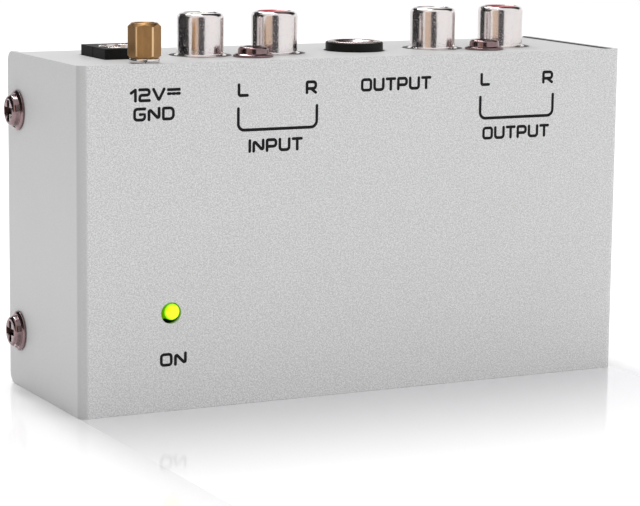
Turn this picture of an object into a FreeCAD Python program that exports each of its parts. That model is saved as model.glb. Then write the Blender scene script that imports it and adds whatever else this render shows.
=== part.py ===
import FreeCAD, Part
import math
import os

os.makedirs("parts", exist_ok=True)
Vector = FreeCAD.Vector

# A small phono preamp that stands on its long narrow side, sockets up.
# X runs right along the lettered front, Y to the back, Z up. The origin is the
# centre of the standing face. All sizes are in millimetres.

# Case
case_length = 106.4
case_depth = 34.0
case_height = 59.5
sheet = 1.0
bend_outer = 1.5
cover_corner = 2.0
cover_lip = 0.25
case_gap = 0.2
tab_width = 10.0
tab_reach = 6.7

# Washer-head screws of the case and of the phono sockets
screw_r = 1.45
screw_flange_r = 3.55
screw_flange_height = 0.7
screw_dome_r = 2.65
screw_dome_height = 1.8
screw_dome_round = 0.7
screw_recess_length = 3.6
screw_recess_width = 1.1
screw_recess_depth = 1.2
screw_hole_gap = 0.05
screw_pass_gap = 0.15
case_screw_length = 6.0
case_screw_inset = 10.1
case_screw_from_back = 5.0
jack_screw_length = 7.0
jack_screw_ahead = 6.5

# Circuit board and what holds it
board_margin_x = 2.2
board_margin_z = 2.5
board_thickness = 1.6
socket_axis_over_board = 7.7
standoff_flat = 5.5
standoff_from_end = 9.2
standoff_low_z = 7.0
standoff_under_panel = 16.25
board_screw_r = 1.45
board_screw_head_r = 2.7
board_screw_head_height = 1.8
board_screw_length = 5.0

# Phono sockets, in two side by side pairs
socket_row_y = -0.5
input_pair_x = -16.7
output_pair_x = 30.0
phono_pitch = 14.4
phono_barrel_r = 4.15
phono_barrel_wall = 0.4
phono_barrel_height = 7.4
phono_barrel_round = 0.45
phono_root_r = 3.9
phono_root_depth = 6.0
phono_panel_hole_r = 5.55
phono_insert_rise = 0.1
phono_contact_bore_r = 1.6
phono_contact_wall = 0.3
phono_contact_drop = 0.5
phono_contact_length = 8.0
phono_block_margin = 6.8
phono_block_height = 10.5
phono_block_ahead = 9.8
phono_block_round = 0.6
phono_fit_gap = 0.05
solder_tail_width = 0.8
solder_tail_out = 1.2

# 6.35 mm jack
trs_x = 6.6
trs_bore_r = 3.2
trs_bush_r = 4.8
trs_collar_r = 5.2
trs_panel_hole_r = 5.55
trs_nose_height = 1.7
trs_collar_drop = 0.15
trs_bush_depth = 6.0
trs_body_width = 16.4
trs_body_ahead = 7.8
trs_body_depth = 28.0
trs_cavity_width = 14.4
trs_cavity_thickness = 7.0
trs_cavity_floor = 4.0
trs_leaf_thickness = 0.4
trs_leaf_width = 4.0
trs_leaf_offset = 4.4
trs_bump_inside = 0.9
trs_bump_height = 3.0
trs_tip_leaf_floor_gap = 1.2
trs_ring_leaf_length = 9.5
trs_leaf_top_gap = 0.3

# Power jack
dc_x = -38.8
dc_width = 9.0
dc_height = 11.4
dc_length = 14.4
dc_axis_over_board = 6.5
dc_proud = 1.8
dc_bore_r = 3.2
dc_bore_depth = 9.5
dc_edge_round = 0.35
dc_panel_gap = 0.25
dc_pin_r = 1.0
dc_pin_drop = 0.8
dc_pin_root = 2.5
dc_ring_wall = 0.3
dc_ring_proud = 0.3
dc_ring_height = 3.25
dc_slot_width = 3.4
dc_slot_depth = 1.2
dc_slot_floor = 1.0
dc_leaf_width = 2.6
dc_leaf_thickness = 0.3
dc_leaf_gap = 0.15
dc_leaf_end_gap = 0.3
dc_bump_height = 1.8
dc_plug_r = 2.75
dc_bump_inside = 0.3

# Ground post
post_x = -39.4
post_from_front = 5.0
post_stud_r = 1.5
post_hole_gap = 0.1
post_thread_gap = 0.05
post_stud_rise = 6.2
post_stud_drop = 4.2
post_washer_r = 2.6
post_washer_thickness = 0.85
post_washer_split = 0.25
post_split_turn = -106.0
post_split_slant = 28.0
post_nut_flat = 5.0
post_nut_height = 5.9
post_nut_crown_r = 2.2
post_nut_foot_r = 2.45
post_nut_mouth = 0.35
post_nut_turn = -23.0
post_seat_gap = 0.02
inner_nut_flat = 5.5
inner_nut_height = 2.4
lug_thickness = 0.5
lug_ring_r = 3.2
lug_strip_width = 2.2
lug_strip_x = -32.5
lug_tail_length = 3.0

# Power lamp
lamp_x = -36.6
lamp_z = 17.0
lamp_hole_r = 1.85
lamp_off_x = 0.2
lamp_off_z = 0.2
lamp_r = 1.5
lamp_length = 5.2
lamp_proud = 0.4
lamp_flange_r = 1.85
lamp_flange_length = 1.0
lamp_lead_pitch = 2.54
lamp_lead_width = 0.5
lamp_lead_gap = 0.1
lamp_spacer_r = 2.1

# Electronics on the board
chip_length = 9.8
chip_width = 6.4
chip_height = 3.3
chip_stand = 0.5
chip_leg_pitch = 2.54
chip_leg_span = 7.6
chip_leg_width = 0.5
chip_z = 17.5
chip_positions_x = (-8.0, 22.0)
electrolytic_r = 3.15
electrolytic_height = 11.0
electrolytic_round = 0.5
electrolytic_left_x = -27.0
electrolytic_from_standoff = 5.0
electrolytic_heights_z = (11.0, 19.5)
film_size = (7.2, 6.5, 2.6)
film_z = 24.5
film_beside_jack = 0.6
film_pitch = 8.2
ceramic_r = 2.2
ceramic_thickness = 1.6
ceramic_stand = 1.0
ceramic_z = 9.0
ceramic_middle_x = (0.0, 14.0)
ceramic_from_electrolytic = (11.0, 8.0)
resistor_r = 1.15
resistor_length = 6.3
resistor_lead_r = 0.28
resistor_lead_span = 10.2
resistor_stand = 0.2
resistor_beside_jack = 0.6
resistor_side_rows_z = (29.0, 5.5)
resistor_middle_rows_z = (5.5, 13.0, 20.5)
regulator_size = (10.0, 4.5, 9.0)
regulator_tab_height = 6.0
regulator_tab_thickness = 1.3
regulator_hole_r = 1.8
regulator_from_end = 10.2
regulator_z = 29.5
diode_r = 1.35
diode_length = 5.2
diode_x = -31.0
diode_z = 34.0

# Feet
foot_r = 4.0
foot_height = 2.0
foot_edge = 0.5
foot_inset = 8.5

# Places that follow from the sizes above
half_length = case_length / 2
front_face = -case_depth / 2
back_face = case_depth / 2
panel_top = case_height - cover_lip
panel_under = panel_top - sheet
plate_inner = back_face - sheet
chassis_half = half_length - sheet - case_gap
chassis_front = front_face + sheet + case_gap
bend_inner = bend_outer - sheet
board_front = socket_row_y + socket_axis_over_board
board_back = board_front + board_thickness
board_half = half_length - board_margin_x - sheet
board_top = panel_under - board_margin_z
board_bottom = sheet + board_margin_z
standoff_x = half_length - sheet - standoff_from_end
dc_axis_y = board_front - dc_axis_over_board
dc_top = panel_top + dc_proud
dc_ring_base = dc_top + dc_ring_proud - dc_ring_height
dc_slot_low = dc_top - dc_bore_depth + dc_slot_floor
dc_slot_high = dc_ring_base - dc_leaf_gap
trs_top = panel_top + trs_nose_height
trs_root_z = panel_under - trs_bush_depth
trs_body_low = panel_under - trs_body_depth
trs_left = trs_x - trs_body_width / 2
trs_right = trs_x + trs_body_width / 2
phono_top = panel_top + phono_barrel_height
case_screw_y = back_face - case_screw_from_back
case_screw_heights = (case_screw_inset, case_height - case_screw_inset)
post_y = front_face + post_from_front
post_nut_base = panel_top + post_washer_thickness + 2 * post_seat_gap
standoff_high_z = panel_under - standoff_under_panel
electrolytic_right_x = standoff_x - electrolytic_from_standoff
ceramic_positions_x = (electrolytic_left_x + ceramic_from_electrolytic[0], *ceramic_middle_x,
                       electrolytic_right_x - ceramic_from_electrolytic[1])
film_reach = film_beside_jack + film_size[0] / 2
film_positions_x = (trs_left - film_reach - film_pitch, trs_left - film_reach,
                    trs_right + film_reach, trs_right + film_reach + film_pitch)
resistor_reach = resistor_beside_jack + resistor_lead_span / 2
resistor_places = [(x, z) for x in (trs_left - resistor_reach, trs_right + resistor_reach)
                   for z in resistor_side_rows_z]
resistor_places += [(trs_x, z) for z in resistor_middle_rows_z]
regulator_x = -half_length + regulator_from_end

X = Vector(1, 0, 0)
Y = Vector(0, 1, 0)
Z = Vector(0, 0, 1)


def box(low, high):
    """A block between two opposite corners."""
    size = [b - a for a, b in zip(low, high)]
    return Part.makeBox(size[0], size[1], size[2], Vector(*low))


def rod(centre, radius, length, along=Z):
    """A cylinder that starts at centre and runs along a direction."""
    return Part.makeCylinder(radius, length, Vector(*centre), along)


def tube(centre, outer, inner, length, along=Z):
    return rod(centre, outer, length, along).cut(rod(centre, inner, length, along))


def hexagon(centre, flats, length, along=Z, turn=0.0):
    """A six-sided prism; turn is in degrees about its axis."""
    corner_r = flats / math.sqrt(3)
    corners = []
    for side in range(7):
        angle = math.radians(60 * side + turn)
        corners.append(Vector(corner_r * math.cos(angle), corner_r * math.sin(angle), 0))
    prism = Part.Face(Part.makePolygon(corners)).extrude(Vector(0, 0, length))
    prism.Placement = FreeCAD.Placement(Vector(*centre), FreeCAD.Rotation(Z, along))
    return prism


def edges_along(shape, direction, test):
    """Straight edges parallel to a direction whose middle passes the test."""
    found = []
    for edge in shape.Edges:
        if not isinstance(edge.Curve, (Part.Line, Part.LineSegment)):
            continue
        start, end = edge.Vertexes[0].Point, edge.Vertexes[-1].Point
        run = (end - start).normalize()
        if abs(abs(run.dot(direction)) - 1) > 1e-6:
            continue
        if test((start + end) * 0.5):
            found.append(edge)
    return found


def rounded_rim(shape, radius, height):
    """Round the circular edges that lie at one height."""
    rim = [e for e in shape.Edges if isinstance(e.Curve, Part.Circle)
           and abs(e.CenterOfMass.z - height) < 1e-6]
    return shape.makeFillet(radius, rim)


def save(name, solids):
    """Write one named piece, or a group of like pieces, as STEP."""
    if not isinstance(solids, (list, tuple)):
        solids = [solids]
    parts = []
    for shape in solids:
        parts.extend(shape.removeSplitter().Solids)
    whole = parts[0] if len(parts) == 1 else Part.makeCompound(parts)
    whole.exportStep("parts/" + name + ".step")
    print(name, len(parts), round(whole.Volume, 2), all(p.isValid() for p in parts))


def washer_screw(length):
    """A pan screw with a washer flange and a cross recess, head up, seat at z = 0."""
    flange = rod((0, 0, 0), screw_flange_r, screw_flange_height)
    flange = rounded_rim(flange, screw_flange_height * 0.45, screw_flange_height)
    dome = rod((0, 0, 0), screw_dome_r, screw_dome_height)
    dome = rounded_rim(dome, screw_dome_round, screw_dome_height)
    head = flange.fuse(dome)
    recess_base = screw_dome_height - screw_recess_depth
    for long_x in (True, False):
        half_x = (screw_recess_length if long_x else screw_recess_width) / 2
        half_y = (screw_recess_width if long_x else screw_recess_length) / 2
        head = head.cut(box((-half_x, -half_y, recess_base), (half_x, half_y, screw_dome_height + 1)))
    return head.fuse(rod((0, 0, -length), screw_r, length))


def placed(shape, place, up=Z):
    """A copy whose own z axis points along up, moved to a place."""
    copy = shape.copy()
    copy.Placement = FreeCAD.Placement(Vector(*place), FreeCAD.Rotation(Z, up)).multiply(copy.Placement)
    return copy


def phono_centres(pair_x):
    return (pair_x - phono_pitch / 2, pair_x + phono_pitch / 2)


def front_cover():
    """The lettered face and its two end flanges, folded from one sheet."""
    outer = box((-half_length, front_face, 0), (half_length, back_face, case_height))
    bends = edges_along(outer, Z, lambda p: p.y < 0)
    outer = outer.makeFillet(bend_outer, bends)
    corners = edges_along(outer, X, lambda p: p.y > back_face - 0.01)
    outer = outer.makeFillet(cover_corner, corners)
    inside = half_length - sheet
    hollow = box((-inside, front_face + sheet, -1), (inside, back_face + 1, case_height + 1))
    hollow = hollow.makeFillet(bend_inner, edges_along(hollow, Z, lambda p: p.y < 0))
    cover = outer.cut(hollow)
    cover = cover.cut(rod((lamp_x, front_face - 1, lamp_z), lamp_hole_r, sheet + 2, Y))
    for height in case_screw_heights:
        through = rod((-half_length - 1, case_screw_y, height), screw_r + screw_pass_gap, case_length + 2, X)
        cover = cover.cut(through)
    return cover


def base_chassis():
    """Connector panel, back plate, bottom panel and end tabs, folded from one sheet."""
    outer = box((-chassis_half, chassis_front, 0), (chassis_half, back_face, panel_top))
    outer = outer.makeFillet(bend_outer, edges_along(outer, X, lambda p: p.y > back_face - 0.01))
    hollow = box((-chassis_half - 1, chassis_front - 1, sheet), (chassis_half + 1, plate_inner, panel_under))
    hollow = hollow.makeFillet(bend_inner, edges_along(hollow, X, lambda p: p.y > plate_inner - 0.01))
    chassis = outer.cut(hollow)
    for side in (-1, 1):
        edge_x = sorted((side * chassis_half, side * (chassis_half - sheet)))
        for height in case_screw_heights:
            tab = box((edge_x[0], plate_inner - tab_reach, height - tab_width / 2),
                      (edge_x[1], plate_inner, height + tab_width / 2))
            chassis = chassis.fuse(tab)
    for height in case_screw_heights:
        tapped = rod((-half_length, case_screw_y, height), screw_r + screw_hole_gap, case_length, X)
        chassis = chassis.cut(tapped)
    above = sheet + 2
    for pair_x in (input_pair_x, output_pair_x):
        for x in phono_centres(pair_x):
            chassis = chassis.cut(rod((x, socket_row_y, panel_under - 1), phono_panel_hole_r, above))
        screw_y = socket_row_y - jack_screw_ahead
        chassis = chassis.cut(rod((pair_x, screw_y, panel_under - 1), screw_r + screw_pass_gap, above))
    chassis = chassis.cut(rod((trs_x, socket_row_y, panel_under - 1), trs_panel_hole_r, above))
    chassis = chassis.cut(rod((post_x, post_y, panel_under - 1), post_stud_r + post_hole_gap, above))
    half_width = dc_width / 2 + dc_panel_gap
    window = box((dc_x - half_width, board_front - dc_height - dc_panel_gap, panel_under - 1),
                 (dc_x + half_width, board_front + dc_panel_gap, panel_top + 1))
    return chassis.cut(window)


def phono_block(pair_x):
    """The black housing of two phono sockets, screwed up under the panel."""
    half = phono_pitch / 2 + phono_block_margin
    top = panel_under
    block = box((pair_x - half, socket_row_y - phono_block_ahead, top - phono_block_height),
                (pair_x + half, board_front, top))
    block = block.makeFillet(phono_block_round, edges_along(block, Z, lambda p: p.y < 0))
    for x in phono_centres(pair_x):
        depth = phono_root_depth
        block = block.cut(rod((x, socket_row_y, top - depth), phono_root_r, depth + 1))
        contact_r = phono_contact_bore_r + phono_contact_wall
        block = block.cut(rod((x, socket_row_y, top - phono_block_height - 1), contact_r + phono_fit_gap,
                              phono_block_height))
    screw_y = socket_row_y - jack_screw_ahead
    reach = jack_screw_length + screw_hole_gap
    return block.cut(rod((pair_x, screw_y, top - reach), screw_r + screw_hole_gap, reach + 1))


def phono_shell(x):
    """The bright barrel that a plug's skirt slides over."""
    root = rod((x, socket_row_y, panel_under - phono_root_depth), phono_root_r, phono_root_depth)
    barrel = rod((x, socket_row_y, panel_under), phono_barrel_r, phono_top - panel_under)
    barrel = rounded_rim(barrel, phono_barrel_round, phono_top)
    inner_r = phono_root_r - phono_barrel_wall
    hollow = rod((x, socket_row_y, panel_under - phono_root_depth - 1), inner_r, phono_top)
    return root.fuse(barrel).cut(hollow)


def phono_insert(x):
    """The coloured plastic core of a socket, with the hole for the plug's pin."""
    inner_r = phono_root_r - phono_barrel_wall
    base = panel_under - phono_root_depth
    core = rod((x, socket_row_y, base), inner_r, phono_top + phono_insert_rise - base)
    core = rounded_rim(core, phono_barrel_round, phono_top + phono_insert_rise)
    contact_r = phono_contact_bore_r + phono_contact_wall
    return core.cut(rod((x, socket_row_y, base - 1), contact_r, phono_top))


def phono_contact(x):
    """The spring tube that grips the plug's pin."""
    top = phono_top - phono_contact_drop
    outer_r = phono_contact_bore_r + phono_contact_wall
    return tube((x, socket_row_y, top - phono_contact_length), outer_r, phono_contact_bore_r,
                phono_contact_length)


def phono_tail(x):
    """The solder tail from a socket's core, down and back through the board."""
    half = solder_tail_width / 2
    low = panel_under - phono_block_height
    rise = box((x - half, socket_row_y - half, low),
               (x + half, socket_row_y + half, phono_top - phono_contact_drop - phono_contact_length))
    back = box((x - half, socket_row_y - half, low - solder_tail_width),
               (x + half, board_back + solder_tail_out, low))
    return rise.fuse(back)


def trs_body():
    """The black housing of the 6.35 mm jack, hollow for its springs."""
    body = box((trs_left, socket_row_y - trs_body_ahead, trs_body_low),
               (trs_right, board_front, panel_under))
    body = body.cut(rod((trs_x, socket_row_y, trs_body_low - 1), trs_bush_r, trs_body_depth + 2))
    half_width, half_thick = trs_cavity_width / 2, trs_cavity_thickness / 2
    cavity = box((trs_x - half_width, socket_row_y - half_thick, trs_body_low + trs_cavity_floor),
                 (trs_x + half_width, socket_row_y + half_thick, trs_root_z))
    return body.cut(cavity).cut(trs_sleeve_contact())


def trs_bush():
    """The metal bush that guides the plug's sleeve."""
    return tube((trs_x, socket_row_y, trs_root_z), trs_bush_r, trs_bore_r, trs_top - trs_root_z)


def trs_collar():
    return tube((trs_x, socket_row_y, panel_under), trs_collar_r, trs_bush_r,
                trs_top - trs_collar_drop - panel_under)


def trs_leaf(side, length):
    """A leaf spring beside the bore, with a bump that the plug pushes outwards."""
    top = trs_root_z - trs_leaf_top_gap
    half = trs_leaf_width / 2
    near = trs_leaf_offset
    far = trs_leaf_offset + trs_leaf_thickness
    low_x, high_x = sorted((trs_x + side * near, trs_x + side * far))
    leaf = box((low_x, socket_row_y - half, top - length), (high_x, socket_row_y + half, top))
    tip = trs_bore_r - trs_bump_inside
    points = [Vector(trs_x + side * near, socket_row_y - half, top - length),
              Vector(trs_x + side * tip, socket_row_y - half, top - length + trs_bump_height / 2),
              Vector(trs_x + side * near, socket_row_y - half, top - length + trs_bump_height)]
    bump = Part.Face(Part.makePolygon(points + points[:1])).extrude(Vector(0, trs_leaf_width, 0))
    return leaf.fuse(bump)


def trs_sleeve_contact():
    """The fixed tail that joins the bush to the board."""
    half = solder_tail_width / 2
    return box((trs_x - half, socket_row_y + trs_cavity_thickness / 2, trs_root_z - solder_tail_width),
               (trs_x + half, board_back + solder_tail_out, trs_root_z))


def dc_body():
    """The black square body of the power jack, which stands through the panel."""
    low_y = board_front - dc_height
    body = box((dc_x - dc_width / 2, low_y, dc_top - dc_length), (dc_x + dc_width / 2, board_front, dc_top))
    body = body.makeFillet(dc_edge_round, edges_along(body, Z, lambda p: True))
    floor = dc_top - dc_bore_depth
    body = body.cut(rod((dc_x, dc_axis_y, floor), dc_bore_r, dc_bore_depth + 1))
    body = body.cut(rod((dc_x, dc_axis_y, floor - dc_pin_root), dc_pin_r, dc_pin_root + 1))
    ring_r = dc_bore_r + dc_ring_wall
    body = body.cut(rod((dc_x, dc_axis_y, dc_ring_base), ring_r, dc_ring_height))
    half = dc_slot_width / 2
    slot = box((dc_x - half, dc_axis_y - dc_bore_r - dc_slot_depth, dc_slot_low),
               (dc_x + half, dc_axis_y, dc_slot_high))
    return body.cut(slot)


def dc_pin():
    base = dc_top - dc_bore_depth - dc_pin_root
    pin = rod((dc_x, dc_axis_y, base), dc_pin_r, dc_top - dc_pin_drop - base)
    return rounded_rim(pin, dc_pin_r * 0.6, dc_top - dc_pin_drop)


def dc_ring():
    return tube((dc_x, dc_axis_y, dc_ring_base), dc_bore_r + dc_ring_wall, dc_bore_r, dc_ring_height)


def dc_leaf():
    """The sleeve spring of the power jack, in a slot at the front of the bore."""
    half = dc_leaf_width / 2
    face = dc_axis_y - dc_bore_r - dc_leaf_gap
    base = dc_slot_low + dc_leaf_end_gap
    leaf = box((dc_x - half, face - dc_leaf_thickness, base),
               (dc_x + half, face, dc_slot_high - dc_leaf_end_gap))
    tip = dc_axis_y - dc_plug_r + dc_bump_inside
    points = [Vector(dc_x - half, face, base), Vector(dc_x - half, tip, base + dc_bump_height / 2),
              Vector(dc_x - half, face, base + dc_bump_height)]
    bump = Part.Face(Part.makePolygon(points + points[:1])).extrude(Vector(dc_leaf_width, 0, 0))
    return leaf.fuse(bump)


def post_stud():
    return rod((post_x, post_y, panel_under - post_stud_drop), post_stud_r,
               post_stud_drop + sheet + post_stud_rise)


def post_washer():
    """A split lock washer, cut through on the slant."""
    base = panel_top + post_seat_gap
    bore = post_stud_r + post_hole_gap
    ring = tube((post_x, post_y, base), post_washer_r, bore, post_washer_thickness)
    half = post_washer_split / 2
    gap = box((0, -half, -2), (post_washer_r + 1, half, 2))
    slant = FreeCAD.Rotation(Z, post_split_turn).multiply(FreeCAD.Rotation(X, post_split_slant))
    gap.Placement = FreeCAD.Placement(Vector(post_x, post_y, base + post_washer_thickness / 2), slant)
    return ring.cut(gap)


def post_nut():
    """The brass hexagonal thumb nut, chamfered at both ends."""
    corner_r = post_nut_flat / math.sqrt(3)
    prism = hexagon((post_x, post_y, post_nut_base), post_nut_flat, post_nut_height, turn=post_nut_turn)
    foot_rise = corner_r + 1 - post_nut_foot_r
    crown_rise = corner_r + 1 - post_nut_crown_r
    low = Part.makeCone(post_nut_foot_r, corner_r + 1, foot_rise, Vector(post_x, post_y, post_nut_base))
    middle = rod((post_x, post_y, post_nut_base + foot_rise), corner_r + 1,
                 post_nut_height - foot_rise - crown_rise)
    high_z = post_nut_base + post_nut_height - crown_rise
    high = Part.makeCone(corner_r + 1, post_nut_crown_r, crown_rise, Vector(post_x, post_y, high_z))
    nut = prism.common(low.fuse(middle).fuse(high))
    bore = post_stud_r + post_thread_gap
    nut = nut.cut(rod((post_x, post_y, post_nut_base - 1), bore, post_nut_height + 2))
    mouth = post_nut_mouth
    mouth_z = post_nut_base + post_nut_height - mouth
    return nut.cut(Part.makeCone(bore, bore + mouth, mouth, Vector(post_x, post_y, mouth_z)))


def inner_nut():
    base = panel_under - lug_thickness - inner_nut_height
    nut = hexagon((post_x, post_y, base), inner_nut_flat, inner_nut_height)
    return nut.cut(rod((post_x, post_y, base - 1), post_stud_r, inner_nut_height + 2))


def ground_lug():
    """A flat lug under the panel that carries the post's ground to the board."""
    top = panel_under
    low = top - lug_thickness
    half = lug_strip_width / 2
    lug = rod((post_x, post_y, low), lug_ring_r, lug_thickness)
    across = box((post_x, post_y - half, low), (lug_strip_x + half, post_y + half, top))
    back = box((lug_strip_x - half, post_y - half, low), (lug_strip_x + half, board_front, top))
    down = box((lug_strip_x - half, board_front - lug_thickness, low - lug_tail_length),
               (lug_strip_x + half, board_front, top))
    lug = lug.fuse(across).fuse(back).fuse(down)
    return lug.cut(rod((post_x, post_y, low - 1), post_stud_r, lug_thickness + 2))


def main_board():
    board = box((-board_half, board_front, board_bottom), (board_half, board_back, board_top))
    for x in (-standoff_x, standoff_x):
        for z in (standoff_low_z, standoff_high_z):
            board = board.cut(rod((x, board_front - 1, z), board_screw_r + screw_pass_gap, board_thickness + 2, Y))
    half = solder_tail_width / 2
    for pair_x in (input_pair_x, output_pair_x):
        for x in phono_centres(pair_x):
            low = panel_under - phono_block_height - solder_tail_width
            board = board.cut(box((x - half, board_front - 1, low),
                                  (x + half, board_back + 1, low + solder_tail_width)))
    board = board.cut(trs_sleeve_contact())
    return board


def standoff(x, z):
    post = hexagon((x, board_back, z), standoff_flat, plate_inner - board_back, Y)
    return post.cut(rod((x, board_back - 1, z), board_screw_r, board_screw_length, Y))


def board_screw(x, z):
    head = rod((x, board_front, z), board_screw_head_r, board_screw_head_height, Y * -1)
    front = board_front - board_screw_head_height
    rim = [e for e in head.Edges if isinstance(e.Curve, Part.Circle) and e.CenterOfMass.y < front + 0.01]
    head = head.makeFillet(screw_dome_round, rim)
    slot = box((x - screw_recess_length / 2, front - 1, z - screw_recess_width / 2),
               (x + screw_recess_length / 2, front + screw_recess_depth, z + screw_recess_width / 2))
    shank = rod((x, board_front, z), board_screw_r, board_screw_length, Y)
    return head.cut(slot).fuse(shank)


def lamp():
    """A 3 mm lamp whose dome looks out of the hole in the front."""
    x, z = lamp_x + lamp_off_x, lamp_z + lamp_off_z
    tip = front_face - lamp_proud
    body = rod((x, tip + lamp_r, z), lamp_r, lamp_length - lamp_r, Y)
    dome = Part.makeSphere(lamp_r, Vector(x, tip + lamp_r, z))
    flange = rod((x, tip + lamp_length - lamp_flange_length, z), lamp_flange_r, lamp_flange_length, Y)
    return body.fuse(dome).fuse(flange)


def lamp_leads():
    leads = []
    start = front_face - lamp_proud + lamp_length
    for side in (-1, 1):
        x = lamp_x + lamp_off_x + side * lamp_lead_pitch / 2
        z = lamp_z + lamp_off_z
        half = lamp_lead_width / 2
        leads.append(box((x - half, start, z - half), (x + half, board_front, z + half)))
    return leads


def lamp_spacer():
    x, z = lamp_x + lamp_off_x, lamp_z + lamp_off_z
    start = front_face - lamp_proud + lamp_length
    spacer = rod((x, start, z), lamp_spacer_r, board_front - start, Y)
    for side in (-1, 1):
        lead_x = x + side * lamp_lead_pitch / 2
        half = lamp_lead_width / 2 + lamp_lead_gap
        spacer = spacer.cut(box((lead_x - half, start - 1, z - half), (lead_x + half, board_front + 1, z + half)))
    return spacer


def chip(x):
    """An eight-legged amplifier chip."""
    back = board_front - chip_stand
    body = box((x - chip_length / 2, back - chip_height, chip_z - chip_width / 2),
               (x + chip_length / 2, back, chip_z + chip_width / 2))
    mark = rod((x - chip_length / 2, back - chip_height - 1, chip_z), chip_stand * 1.6, chip_stand + 1, Y)
    body = body.cut(mark)
    half = chip_leg_width / 2
    for step in range(4):
        leg_x = x + (step - 1.5) * chip_leg_pitch
        for side in (-1, 1):
            near, far = sorted((side * chip_width / 2, side * chip_leg_span / 2))
            arm = box((leg_x - half, back - chip_height / 2 - half, chip_z + near),
                      (leg_x + half, back - chip_height / 2 + half, chip_z + far))
            foot_z = sorted((side * (chip_leg_span / 2 - chip_leg_width), side * chip_leg_span / 2))
            foot = box((leg_x - half, back - chip_height / 2 - half, chip_z + foot_z[0]),
                       (leg_x + half, board_front, chip_z + foot_z[1]))
            body = body.fuse(arm).fuse(foot)
    return body


def electrolytic(x, z):
    can = Part.makeCylinder(electrolytic_r, electrolytic_height, Vector(0, 0, 0), Z)
    can = rounded_rim(can, electrolytic_round, electrolytic_height)
    return placed(can, (x, board_front, z), Y * -1)


def film_capacitor(x):
    wide, tall, thick = film_size
    body = box((x - wide / 2, board_front - tall, film_z - thick / 2),
               (x + wide / 2, board_front, film_z + thick / 2))
    return body.makeFillet(phono_block_round / 2, edges_along(body, Y, lambda p: True))


def ceramic_capacitor(x):
    disc = rod((x, board_front - ceramic_stand - ceramic_r, ceramic_z - ceramic_thickness / 2),
               ceramic_r, ceramic_thickness)
    half = resistor_lead_r
    for side in (-1, 1):
        lead_x = x + side * lamp_lead_pitch / 2
        disc = disc.fuse(box((lead_x - half, board_front - ceramic_stand - ceramic_r, ceramic_z - half),
                             (lead_x + half, board_front, ceramic_z + half)))
    return disc


def axial_part(x, z, radius, length, span):
    """A small round part that lies on the board, with a lead bent down at each end."""
    y = board_front - resistor_stand - radius
    body = rod((x - length / 2, y, z), radius, length, X)
    body = body.fuse(rod((x - span / 2, y, z), resistor_lead_r, span, X))
    for side in (-1, 1):
        lead_x = x + side * (span / 2 - resistor_lead_r)
        body = body.fuse(rod((lead_x, y, z), resistor_lead_r, board_front - y, Y))
    return body


def regulator():
    """The voltage regulator, stood on the board with its tab up."""
    wide, thick, tall = regulator_size
    low_x = regulator_x - wide / 2
    body = box((low_x, board_front - tall, regulator_z - thick / 2),
               (low_x + wide, board_front, regulator_z + thick / 2))
    tab_top = board_front - tall - regulator_tab_height
    tab = box((low_x, tab_top, regulator_z - thick / 2),
              (low_x + wide, board_front - tall, regulator_z - thick / 2 + regulator_tab_thickness))
    hole_y = tab_top + regulator_tab_height / 2
    hole = rod((regulator_x, hole_y, regulator_z - thick), regulator_hole_r, thick * 2)
    return body.fuse(tab.cut(hole))


def foot(x, z):
    disc = Part.makeCone(foot_r, foot_r - foot_edge, foot_height, Vector(0, 0, 0), Z)
    return placed(disc, (x, back_face, z), Y)


save("front_cover", front_cover())
save("base_chassis", base_chassis())
case_screw = washer_screw(case_screw_length)
save("case_screws", [placed(case_screw, (side * half_length, case_screw_y, height), X * side)
                     for side in (-1, 1) for height in case_screw_heights])
jack_screw = washer_screw(jack_screw_length)
save("jack_screws", [placed(jack_screw, (pair_x, socket_row_y - jack_screw_ahead, panel_top))
                     for pair_x in (input_pair_x, output_pair_x)])
for pair_name, pair_x in (("input", input_pair_x), ("output", output_pair_x)):
    save("phono_block_" + pair_name, phono_block(pair_x))
    for side_name, x in zip(("left", "right"), phono_centres(pair_x)):
        save("phono_shell_" + pair_name + "_" + side_name, phono_shell(x))
        save("phono_insert_" + pair_name + "_" + side_name, phono_insert(x))
all_phono_x = phono_centres(input_pair_x) + phono_centres(output_pair_x)
save("phono_centre_contacts", [phono_contact(x) for x in all_phono_x])
save("phono_solder_tails", [phono_tail(x) for x in all_phono_x])
save("trs_jack_body", trs_body())
save("trs_jack_bush", trs_bush())
save("trs_jack_collar", trs_collar())
tip_leaf_low = trs_body_low + trs_cavity_floor + trs_tip_leaf_floor_gap
save("trs_tip_spring", trs_leaf(1, trs_root_z - trs_leaf_top_gap - tip_leaf_low))
save("trs_ring_spring", trs_leaf(-1, trs_ring_leaf_length))
save("trs_sleeve_contact", trs_sleeve_contact())
save("power_jack_body", dc_body())
save("power_jack_pin", dc_pin())
save("power_jack_ring", dc_ring())
save("power_jack_spring", dc_leaf())
save("ground_stud", post_stud())
save("ground_lock_washer", post_washer())
save("ground_post_nut", post_nut())
save("ground_inner_nut", inner_nut())
save("ground_lug", ground_lug())
save("main_board", main_board())
standoff_places = [(x, z) for x in (-standoff_x, standoff_x) for z in (standoff_low_z, standoff_high_z)]
save("board_standoffs", [standoff(x, z) for x, z in standoff_places])
save("board_screws", [board_screw(x, z) for x, z in standoff_places])
save("power_lamp", lamp())
save("lamp_leads", lamp_leads())
save("lamp_spacer", lamp_spacer())
save("amplifier_chips", [chip(x) for x in chip_positions_x])
save("electrolytic_capacitors", [electrolytic(x, z) for x in (electrolytic_left_x, electrolytic_right_x)
                                 for z in electrolytic_heights_z])
save("film_capacitors", [film_capacitor(x) for x in film_positions_x])
save("ceramic_capacitors", [ceramic_capacitor(x) for x in ceramic_positions_x])
save("resistors", [axial_part(x, z, resistor_r, resistor_length, resistor_lead_span)
                   for x, z in resistor_places])
save("voltage_regulator", regulator())
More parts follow.
